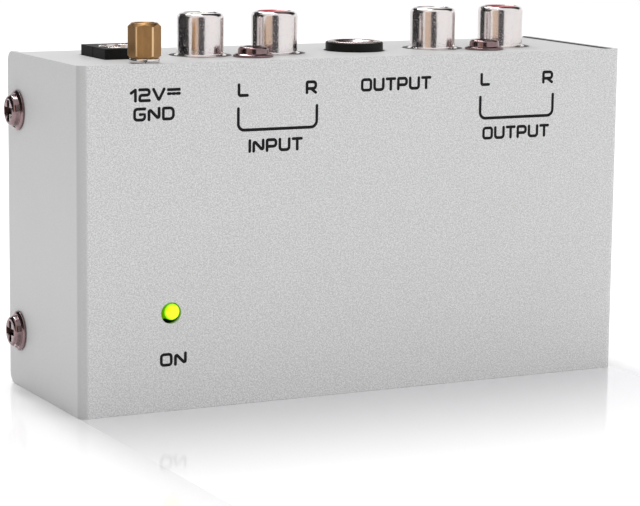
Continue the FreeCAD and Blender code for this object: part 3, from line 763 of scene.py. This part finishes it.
# Word, left, right and middle height on the front, in millimetres
WORDS = (("12V=", -43.92, -35.17, 54.33), ("GND", -43.31, -36.26, 51.11),
         ("L", -24.13, -22.54, 54.55), ("R", -11.2, -9.51, 54.6),
         ("INPUT", -22.03, -12.18, 44.92), ("OUTPUT", -0.45, 13.1, 54.63),
         ("L", 23.67, 25.16, 54.8), ("R", 36.63, 38.43, 54.81),
         ("OUTPUT", 24.3, 37.82, 45.14), ("ON", -38.44, -33.96, 8.99))
# Left, right, low and high edge of the brackets under two pairs of labels
BRACKETS = ((-24.22, -9.25, 47.7, 51.4), (23.49, 38.7, 47.84, 51.65))


def word_lines(text, left, right, middle_z, tall):
    """The lines of a word between two x places, in millimetres."""
    widths = [GLYPHS[letter][0] for letter in text]
    scale = (right - left) / (sum(widths) + LETTER_GAP * (len(text) - 1))
    lines, x = [], left
    for letter, width in zip(text, widths):
        wide = max(width * scale, 1e-3)
        soft = min(tall, max(wide, 0.4 * tall))
        for points, closed in GLYPHS[letter][1]:
            placed = [(x + px * wide, middle_z + (pz - 0.5) * tall, bend * soft)
                      for px, pz, bend in points]
            lines.append((placed, closed))
        x += (width + LETTER_GAP) * scale
    return lines


def ink_mesh(name, lines):
    """Draws rounded lines as edges, and marks the points that need a round end."""
    points, edges, ends = [], [], []
    for outline, closed in lines:
        first = len(points)
        drawn = rounded(outline, closed, 6)
        last = first + len(drawn) - 1
        points += [(x * MM, 0.0, z * MM) for x, z in drawn]
        edges += [(step, step + 1) for step in range(first, last)]
        if closed:
            edges.append((last, first))
        sharp = {(round(x, 6), round(z, 6)) for x, z, bend in outline if bend == 0}
        ends += [not closed and step in (0, len(drawn) - 1) or (round(x, 6), round(z, 6)) in sharp
                 for step, (x, z) in enumerate(drawn)]
    mesh = bpy.data.meshes.new(name)
    mesh.from_pydata(points, edges, [])
    marks = mesh.attributes.new("end", "BOOLEAN", "POINT")
    for row, value in zip(marks.data, ends):
        row.value = value
    return linked(name, mesh)


def size_property(name, description, value):
    return FloatProperty(name=name, description=description, default=value)


class PreampSizes(bpy.types.PropertyGroup):
    """Sizes in millimetres"""
    edge_ease: size_property("Sheet Edge", "Rounding of the sheet's cut edges", 0.12)
    stroke_width: size_property("Stroke", "Width of a printed stroke", 0.54)
    ink_height: size_property("Ink", "Thickness of the printed ink", 0.024)
    letter_height: size_property("Letter Height", "Centre to centre height of a capital", 1.83)
    shank_length: size_property("Screw Length", "Threaded length under the head", 6.0)
    recess_length: size_property("Recess Length", "Across the screw's cross recess", 3.6)
    recess_width: size_property("Recess Width", "Width of one arm of the cross", 1.1)
    recess_depth: size_property("Recess Depth", "Depth of the cross recess", 1.2)
    shoulder: size_property("Shoulder", "Rounding of a phono barrel's shoulder", 0.95)
    skirt: size_property("Skirt", "Radius of a phono barrel's skirt", 4.6)
    lens_mm: size_property("Lens", "Focal length of the camera", 140.5)
    turned_segments: IntProperty(name="Turned Segments", description="Sides of a turned piece",
                                 default=96, min=24)


def tint(name, description, *value):
    return FloatVectorProperty(name=name, description=description, default=value,
                               subtype="COLOR", size=3, min=0.0, max=1.0)


class PreampColours(bpy.types.PropertyGroup):
    """Colours of the finishes"""
    case_paint: tint("Case Paint", "Silver-grey powder coat", 0.52, 0.52, 0.52)
    # Painted shade: this dark tone is the bare sheet darkened to stand for the shade in the gaps
    # inside the case
    bare_sheet: tint("Bare Sheet", "Unpainted sheet inside the case", 0.10, 0.10, 0.105)
    label_ink: tint("Label Ink", "Printed labels", 0.006, 0.005, 0.006)
    nickel: tint("Nickel", "Bright plated barrels", 0.80, 0.765, 0.775)
    nickel_warm: tint("Warm Nickel", "Warm tint in the plating", 0.84, 0.77, 0.75)
    screw_steel: tint("Screw Steel", "Dark nickel screws", 0.24, 0.165, 0.17)
    bush: tint("Bush Nickel", "Bush of the 6.35 mm jack", 0.50, 0.42, 0.42)
    brass: tint("Brass", "Ground post", 0.47, 0.265, 0.11)
    # Painted highlight: this bright tone on the nut's edges stands for highlights as well as wear
    brass_wear_and_highlight: tint("Brass Edge", "Worn edges of the ground post", 0.85, 0.60, 0.34)
    bright_steel: tint("Bright Steel", "Washers and contacts", 0.82, 0.80, 0.79)
    black_plastic: tint("Black Plastic", "Jack housings", 0.004, 0.004, 0.0038)
    white_plastic: tint("White Plastic", "Left channel inserts", 0.83, 0.82, 0.79)
    red_plastic: tint("Red Plastic", "Right channel inserts", 0.42, 0.025, 0.04)
    lamp_heart: tint("Lamp Heart", "Middle of the lit lamp", 1.0, 1.0, 0.0)
    lamp_edge: tint("Lamp Edge", "Rim of the lit lamp", 0.30, 0.95, 0.0)
    board: tint("Board", "Circuit board mask", 0.01, 0.12, 0.04)
    chip: tint("Chip", "Chip packages", 0.02, 0.02, 0.022)
    sleeve: tint("Sleeve", "Capacitor sleeves", 0.02, 0.03, 0.09)
    film: tint("Film", "Film capacitors", 0.42, 0.05, 0.02)
    ceramic: tint("Ceramic", "Ceramic capacitors", 0.55, 0.25, 0.06)
    resistor: tint("Resistor", "Resistor lacquer", 0.25, 0.48, 0.55)
    rubber: tint("Rubber", "Feet", 0.015, 0.015, 0.015)
    floor: tint("Floor", "Studio floor", 0.885, 0.885, 0.89)


class PREAMP_OT_case(bpy.types.Operator):
    """Build the folded front cover and chassis with eased sheet edges"""
    bl_idname = "preamp.case"
    bl_label = "Case Sheets"

    def execute(self, context):
        ease = context.scene.preamp_sizes.edge_ease
        # The inner cover faces and the hidden chassis faces are marked for the dark painted shade
        # of the gaps
        for node, is_bare_and_shaded in (("front_cover", self.is_inner), ("base_chassis", self.is_hidden)):
            sheet = eased_copy(node, node + "_sheet", ease, 40)
            finished(marked(sheet, "inside", is_bare_and_shaded), "case_paint", "case_paint", node)
        return {"FINISHED"}

    @staticmethod
    def is_inner(face):
        """The cover's inner faces: they look towards the middle of the case."""
        at, way = face.center, face.normal
        return way.x * at.x < -0.5 * abs(at.x) or (way.y > 0.5 and at.y < FRONT_Y + 2 * MM)

    @staticmethod
    def is_hidden(face):
        """The chassis faces that lie against the cover's end flanges."""
        at, way = face.center, face.normal
        return way.x * at.x > 0.5 * abs(at.x) and abs(at.x) > END_X - 3 * MM


class PREAMP_OT_labels(bpy.types.Operator):
    """Print the plain socket and lamp labels on the front"""
    bl_idname = "preamp.labels"
    bl_label = "Labels"

    def execute(self, context):
        sizes = context.scene.preamp_sizes
        lines = []
        for word in WORDS:
            lines += word_lines(*word, sizes.letter_height)
        for left, right, low, high in BRACKETS:
            corners = [(left, high, 0), (left, low, 1.1), (right, low, 1.1), (right, high, 0)]
            lines.append((corners, False))
        name = "front_labels"
        values = {"Stroke Width": sizes.stroke_width * MM, "Ink Height": sizes.ink_height * MM,
                  "Face Depth": FRONT_Y, "Finish": material("label_ink")}
        ink = grown(ink_mesh(name, lines), strokes_tree(), values, name)
        finished(ink, "label_ink", "black_plastic")
        return {"FINISHED"}


class PREAMP_OT_screws(bpy.types.Operator):
    """Build the washer-head screws in the ends and in the connector panel"""
    bl_idname = "preamp.screws"
    bl_label = "Screws"

    def execute(self, context):
        sizes = context.scene.preamp_sizes
        inset, quarter = FLANGE_R * MM, math.radians(90)
        low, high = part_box("case_screws")
        y = (low.y + high.y) / 2
        in_ends = [((side * END_X, y, z), (0, side * quarter, 0))
                   for side in (-1, 1) for z in (low.z + inset, high.z - inset)]
        y = middle("jack_screws").y
        in_panel = [((middle(node).x, y, PANEL_Z), (0, 0, math.radians(turn)))
                    for node, turn in (("phono_block_input", 12), ("phono_block_output", 31))]
        for name, places in (("case_screw", in_ends), ("jack_screw", in_panel)):
            copies(screw_form(sizes), places, name + "_set", "dark_nickel", "screw_steel",
                   name + "s")
        return {"FINISHED"}


class PREAMP_OT_phono_sockets(bpy.types.Operator):
    """Build the four phono sockets: drawn barrels, coloured inserts and slotted contacts"""
    bl_idname = "preamp.phono_sockets"
    bl_label = "Phono Sockets"

    def execute(self, context):
        sizes = context.scene.preamp_sizes
        segments, skirt = sizes.turned_segments, sizes.skirt
        root, top = heights("phono_shell_input_left")
        barrel, bore = 4.15, 3.75
        shell = turned("shell", [
            (3.9, root, 0), (3.9, -0.55, 0.1), (skirt, -0.14, 0.05), (skirt, 0.04, 0.05),
            (barrel, 0.20, 0.3), (barrel, top, sizes.shoulder), (3.0, top, 0.2),
            (3.0, top - 0.5, 0.1), (bore, top - 0.9, 0.2), (bore, 0.3, 0.2),
            (3.55, -0.6, 0.1), (3.55, root, 0)], steps=6, segments=segments, crease=50)
        shells = ["phono_shell_" + name for name in SOCKETS]
        copies(shell, self.places(SOCKETS), "phono_shell_set", "drawn_nickel", "socket_metal",
               *shells)
        for side, plastic, lip in (("left", "white_plastic", top - 0.16),
                                   ("right", "red_plastic", top + 0.01)):
            insert = turned("insert", [
                (1.95, root, 0), (3.5, root, 0), (3.5, top - 1.3, 0.1), (2.93, top - 1.0, 0.1),
                (2.93, lip - 0.07, 0.25), (2.35, lip, 0.2), (1.95, lip - 0.3, 0.1)],
                segments=segments, crease=50)
            names = [name for name in SOCKETS if name.endswith(side)]
            copies(insert, self.places(names), "phono_insert_" + side + "_set", plastic, plastic,
                   *["phono_insert_" + name for name in names])
        foot, head = heights("phono_centre_contacts")
        outline = rounded([(1.6, foot, 0), (1.9, foot, 0), (1.9, head, 0.1), (1.6, head, 0.1)],
                          closed=True)
        tube = scratch("contact", lathed(outline, True, 48))
        slit = block((-2.5 * MM, -0.15 * MM, (head - 5.0) * MM),
                     (2.5 * MM, 0.15 * MM, (head + 1) * MM))
        tube = smooth(cut(tube, slit), 40)
        copies(tube, self.places(SOCKETS, 35), "phono_contact_set", "contact_plate",
               "contact_metal", "phono_centre_contacts")
        for node in ("phono_block_input", "phono_block_output"):
            finished(eased_copy(node, node + "_housing", 0.15), "black_plastic",
                     "black_plastic", node)
        return {"FINISHED"}

    @staticmethod
    def places(names, turn=0):
        """Where the named sockets stand on the panel, with a turn in degrees."""
        centres = [middle("phono_shell_" + name) for name in names]
        return [((c.x, c.y, PANEL_Z), (0, 0, math.radians(turn))) for c in centres]


class PREAMP_OT_headphone_jack(bpy.types.Operator):
    """Build the collar, bush and body of the 6.35 mm jack"""
    bl_idname = "preamp.headphone_jack"
    bl_label = "6.35 mm Jack"

    def execute(self, context):
        segments = context.scene.preamp_sizes.turned_segments
        at = over_panel("trs_jack_collar")
        base, crown = heights("trs_jack_collar")
        collar = turned("trs_collar_ring", [
            (4.85, base, 0), (5.2, base, 0), (5.2, 0.0, 0), (5.2, crown, 0.25),
            (4.85, crown, 0.08)], segments=segments, at=at)
        finished(collar, "black_plastic", "black_plastic", "trs_jack_collar")
        root, top = heights("trs_jack_bush")
        bush = turned("trs_bush_sleeve", [
            (3.2, root, 0), (4.8, root, 0.1), (4.8, top, 0.22), (4.1, top, 0.1),
            (3.75, top - 0.12, 0.1), (3.2, top - 0.55, 0.15)], segments=segments, at=at)
        finished(bush, "bush_nickel", "socket_metal", "trs_jack_bush")
        finished(eased_copy("trs_jack_body", "trs_body_shell", 0.15), "black_plastic",
                 "black_plastic", "trs_jack_body")
        return {"FINISHED"}


class PREAMP_OT_power_jack(bpy.types.Operator):
    """Build the power jack: its block with the seam, mouth ring and centre pin"""
    bl_idname = "preamp.power_jack"
    bl_label = "Power Jack"

    def execute(self, context):
        low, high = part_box("power_jack_body")
        body = scratch("power_jack_housing", frame_form("power_jack_body"))
        seam_y = (low.y + high.y) / 2
        groove = 0.09 * MM
        for x in (low.x, high.x):
            body = cut(body, block((x - groove, seam_y - groove, low.z - MM),
                                   (x + groove, seam_y + groove, high.z + MM)))
        finished(eased(body, 0.10, 40), "black_plastic", "black_plastic", "power_jack_body")
        foot, top = heights("power_jack_ring")
        outer, crown, wall = radius("power_jack_ring"), top - 0.18, 0.3
        ring = turned("power_mouth_ring", [
            (outer - wall, foot, 0), (outer, foot, 0), (outer, crown, 0.12),
            (outer - wall, crown, 0.1)], at=over_panel("power_jack_ring"),
            segments=context.scene.preamp_sizes.turned_segments)
        finished(ring, "drawn_nickel", "socket_metal", "power_jack_ring")
        foot, top = heights("power_jack_pin")
        r = radius("power_jack_pin")
        pin = turned("power_centre_pin", [
            (0, foot, 0), (r, foot, 0), (r, top, 0.75 * r), (0, top, 0)],
            closed=False, segments=48, at=over_panel("power_jack_pin"))
        finished(pin, "drawn_nickel", "socket_metal", "power_jack_pin")
        return {"FINISHED"}


class PREAMP_OT_ground_post(bpy.types.Operator):
    """Build the brass ground nut, its split washer and its threaded stud"""
    bl_idname = "preamp.ground_post"
    bl_label = "Ground Post"

    def execute(self, context):
        finished(self.hexagon_nut(), "turned_brass", "brass", "ground_post_nut",
                 body="ground_nut")
        washer = smooth(scratch("ground_split_washer", self.split_ring()), 50)
        finished(washer, "bright_steel", "washer_steel", "ground_lock_washer",
                 body="ground_washer")
        foot, top = heights("ground_stud")
        r = radius("ground_stud")
        root = r * 0.86
        outline = [(0.0, foot), (r * 0.8, foot)]
        height = foot + 0.1
        while height < top - 0.7:
            outline += [(root, height), (r, height + 0.22), (r, height + 0.28)]
            height += THREAD_PITCH
        outline += [(root, height), (root, top - 0.25), (r * 0.66, top), (0.0, top)]
        form = lathed(outline, False, 48)
        form.transform(over_panel("ground_stud"))
        stud = smooth(scratch("ground_threaded_stud", form), 20)
        finished(stud, "turned_brass", "brass", "ground_stud")
        return {"FINISHED"}

    def hexagon_nut(self):
        """The hexagonal nut with eased corners and coned ends, where the frame's nut stands."""
        centre = middle("ground_post_nut")
        half = (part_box("ground_post_nut")[1].z - centre.z) / MM
        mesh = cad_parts["ground_post_nut"].data
        reach = max((v.co.xy - centre.xy).length for v in mesh.vertices) / MM
        bore = radius("ground_stud") + 0.05
        turn, corner_ease = math.radians(-23.0), 0.4
        corners = []
        for step in range(6):
            angle = turn + math.tau * step / 6
            corners.append((reach * math.cos(angle), reach * math.sin(angle), corner_ease))
        outline = rounded(corners, True, 4)
        body = scratch("hexagon", skinned([[(x * MM, y * MM, z * MM) for x, y in outline]
                                           for z in (-half, half)]))
        foot, foot_rise, crown, crown_rise = 2.45, 1.2, 2.2, 1.4
        cones = rounded([
            (0, -half, 0), (foot, -half, 0.1), (foot + foot_rise, foot_rise - half, 0),
            (crown + crown_rise, half - crown_rise, 0), (crown, half, 0.12), (0, half, 0)])
        body = cut(body, lathed(cones, False, 96), "INTERSECT")
        over, mouth_depth, flare = half + 0.2, 0.3, 0.5
        body = cut(body, lathed([(0, -half - 1), (bore, -half - 1), (bore, half - mouth_depth),
                                 (bore + flare, over), (0, over)], False, 48))
        body.data.transform(Matrix.Translation(centre))
        body.name = body.data.name = "ground_thumb_nut"
        flats = [turn + math.tau * (step + 0.5) / 6 for step in range(6)]

        # Picks the rounded edge faces for the bright brass of wear and painted highlight
        def is_worn(face):
            way = face.normal
            if abs(way.z) > 0.3:
                return False
            angle = math.atan2(way.y, way.x)
            apart = min(abs(math.remainder(angle - flat, math.tau)) for flat in flats)
            return apart > math.radians(5)

        return marked(smooth(body, 12), "worn", is_worn)

    def split_ring(self):
        """A round-edged ring cut through on a slant, where the frame's washer lies."""
        low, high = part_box("ground_lock_washer")
        centre, half = (low + high) / 2, (high.z - low.z) / 2 / MM
        outer, inner = radius("ground_lock_washer"), radius("ground_stud") + 0.1
        ease, steps = 0.28, 72
        section = rounded([(inner, -half, ease), (outer, -half, ease),
                           (outer, half, ease), (inner, half, ease)], closed=True, steps=4)
        opening, split = math.radians(3.0), math.radians(-106.0)
        slant = math.tan(math.radians(28.0))
        rings = []
        for step in range(steps + 1):
            around = split + opening / 2 + (math.tau - opening) * step / steps
            ring = []
            for reach, height in section:
                angle = around + height * slant / outer
                at = Vector((math.cos(angle) * reach, math.sin(angle) * reach, height)) * MM
                ring.append(centre + at)
            rings.append(ring)
        return skinned(rings)


class PREAMP_OT_lamp(bpy.types.Operator):
    """Build the lit lamp behind its hole"""
    bl_idname = "preamp.lamp"
    bl_label = "Lamp"

    def execute(self, context):
        low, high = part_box("power_lamp")
        centre = (low + high) / 2
        length = (high.y - low.y) / MM
        flange, flange_rise, barrel = 1.85, 1.0, 1.5
        forward = Matrix.Rotation(math.radians(90), 4, "X")
        lens = turned("lamp_lens_dome", [
            (0, 0, 0), (flange, 0, 0.1), (flange, flange_rise, 0.15), (barrel, flange_rise, 0),
            (barrel, length - 1.35, 0.4), (1.46, length - 0.6, 0.7), (0.85, length, 0.9),
            (0, length, 0)], closed=False, steps=6, segments=64, crease=50,
            at=Matrix.Translation((centre.x, high.y, centre.z)) @ forward)
        finished(lens, "lamp_lens", "lamp_lens", "power_lamp")
        return {"FINISHED"}


class PREAMP_OT_feet(bpy.types.Operator):
    """Build the rubber feet on the back plate"""
    bl_idname = "preamp.feet"
    bl_label = "Feet"

    def execute(self, context):
        low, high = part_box("rubber_feet")
        r, dimple = 4.0, 0.4
        thick = (high.y - low.y) / MM
        foot = turned("foot", [
            (0, 0, 0), (r, 0, 0.1), (r - 0.15, thick, 0.5), (2.0, thick, 0.3),
            (1.6, thick - dimple, 0.2), (0, thick - dimple, 0)],
            closed=False, segments=64, crease=50)
        inset, backward = r * MM, (math.radians(-90), 0, 0)
        places = [((x, low.y, z), backward) for x in (low.x + inset, high.x - inset)
                  for z in (low.z + inset, high.z - inset)]
        copies(foot, places, "rubber_foot_set", "foot_rubber", "foot_rubber", "rubber_feet")
        return {"FINISHED"}


class PREAMP_OT_inside(bpy.types.Operator):
    """Give the pieces inside the case their finishes"""
    bl_idname = "preamp.inside"
    bl_label = "Inside"

    # Slots whose finish has another name
    finishes = {"contact_metal": "contact_plate", "brass": "turned_brass",
                "washer_steel": "bright_steel", "screw_steel": "dark_nickel",
                "socket_metal": "drawn_nickel"}

    def execute(self, context):
        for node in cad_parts.values():
            if node.hide_render:
                continue
            for row in node.material_slots:
                slot = row.material.name.split(".")[0]
                row.material = material(self.finishes.get(slot, slot))
        return {"FINISHED"}


class PREAMP_OT_stage(bpy.types.Operator):
    """Lay the floor and set the flags, the lights and the camera"""
    bl_idname = "preamp.stage"
    bl_label = "Stage"

    def execute(self, context):
        scene = context.scene
        form = bmesh.new()
        bmesh.ops.create_grid(form, x_segments=8, y_segments=8, size=4.0)
        floor = scratch("floor", form)
        floor.data.materials.append(material("floor_finish"))
        self.flags()
        self.lights(scene)
        self.camera(scene)
        scene.view_settings.view_transform = "Standard"
        return {"FINISHED"}

    def flags(self):
        """Cards round the object that only bright metal sees, by azimuth from the camera's side."""
        camera_turn, steps, arch_reach = 27.1, 10, 1.5
        rises = [math.radians(rise) for rise in (24, 45, 65, 84)]
        arch = [(arch_reach * math.cos(rise), arch_reach * math.sin(rise)) for rise in rises]
        cards = (("dark_card_left", 54, 130, ((0.50, 0.005), (0.50, 0.55)), "dark_cloth"),
                 ("warm_card", 10, 40, ((0.46, 0.005), (0.46, 0.40)), "warm_board"),
                 ("grey_card_front", -21, 9, ((0.48, 0.005), (0.48, 0.55)), "grey_cloth"),
                 ("dark_arch_behind", 110, 250, arch, "dark_cloth"))
        for name, start, finish, rows, cloth in cards:
            form = bmesh.new()
            columns = []
            for step in range(steps + 1):
                angle = math.radians(camera_turn + start + (finish - start) * step / steps)
                columns.append([form.verts.new((-math.sin(angle) * reach,
                                                -math.cos(angle) * reach, height))
                                for reach, height in rows])
            for before, after in zip(columns, columns[1:]):
                for row in range(len(rows) - 1):
                    form.faces.new((before[row], after[row], after[row + 1], before[row + 1]))
            card = scratch(name, form)
            card.data.materials.append(material(cloth))
            card.visible_camera = card.visible_shadow = card.visible_diffuse = False

    def lights(self, scene):
        """A white room, a strip behind that throws the shade ahead, and a soft light in front."""
        world = bpy.data.worlds.new("studio")
        world.use_nodes = True
        background = world.node_tree.nodes["Background"]
        background.inputs["Color"].default_value = (1, 1, 1, 1)
        background.inputs["Strength"].default_value = 1.0
        scene.world = world
        lamps = (("behind_strip", (0.0, 0.45, 0.95), (0.12, 0.75), 5.6, True),
                 ("front_right_soft", (0.6, -0.9, 0.22), (0.5, 0.5), 2.5, False))
        for name, place, (wide, tall), power, mirrored in lamps:
            data = bpy.data.lights.new(name, "AREA")
            data.shape = "RECTANGLE"
            data.size = wide
            data.size_y = tall
            data.energy = power
            lamp = bpy.data.objects.new(name, data)
            lamp.location = place
            lamp.visible_glossy = mirrored
            aim = Vector((0, 0, 0.03)) - lamp.location
            lamp.rotation_euler = aim.to_track_quat("-Z", "Y").to_euler()
            scene.collection.objects.link(lamp)

    def camera(self, scene):
        """The photograph's view: from the left and a little above, with a slight roll."""
        azimuth, elevation, roll = (math.radians(angle) for angle in (27.145, 9.334, 0.637))
        place = (-0.2045, -0.3996, 0.0962)
        ahead = Vector((math.sin(azimuth) * math.cos(elevation),
                        math.cos(azimuth) * math.cos(elevation), -math.sin(elevation)))
        level = Vector((math.cos(azimuth), -math.sin(azimuth), 0))
        over = level.cross(ahead)
        right = math.cos(roll) * level + math.sin(roll) * over
        top = math.cos(roll) * over - math.sin(roll) * level
        data = bpy.data.cameras.new("camera")
        data.lens = scene.preamp_sizes.lens_mm
        data.sensor_width = 36.0
        data.clip_start = 0.01
        data.clip_end = 20.0
        camera = bpy.data.objects.new("camera", data)
        turn = Matrix((right, top, -ahead)).transposed().to_4x4()
        camera.matrix_world = Matrix.Translation(place) @ turn
        scene.collection.objects.link(camera)
        scene.camera = camera


class PREAMP_PT_panel(bpy.types.Panel):
    """Lists what builds the preamp"""
    bl_label = "Phono Preamp"
    bl_idname = "PREAMP_PT_panel"
    bl_space_type = "VIEW_3D"
    bl_region_type = "UI"
    bl_category = "Preamp"

    def draw(self, context):
        for builder in BUILDERS:
            self.layout.operator(builder.bl_idname)
        for group in (context.scene.preamp_sizes, context.scene.preamp_colours):
            box = self.layout.box()
            for name in group.bl_rna.properties.keys():
                if name not in ("rna_type", "name"):
                    box.prop(group, name)


BUILDERS = (PREAMP_OT_stage, PREAMP_OT_case, PREAMP_OT_labels, PREAMP_OT_screws,
            PREAMP_OT_phono_sockets, PREAMP_OT_headphone_jack, PREAMP_OT_power_jack,
            PREAMP_OT_ground_post, PREAMP_OT_lamp, PREAMP_OT_feet, PREAMP_OT_inside)
CLASSES = (PreampSizes, PreampColours, *BUILDERS, PREAMP_PT_panel)


def register():
    for one in CLASSES:
        bpy.utils.register_class(one)
    bpy.types.Scene.preamp_sizes = PointerProperty(type=PreampSizes)
    bpy.types.Scene.preamp_colours = PointerProperty(type=PreampColours)


def unregister():
    del bpy.types.Scene.preamp_colours
    del bpy.types.Scene.preamp_sizes
    for one in reversed(CLASSES):
        bpy.utils.unregister_class(one)


def main():
    register()
    for builder in BUILDERS:
        family, name = builder.bl_idname.split(".")
        getattr(getattr(bpy.ops, family), name)()


if __name__ == "__main__":
    main()
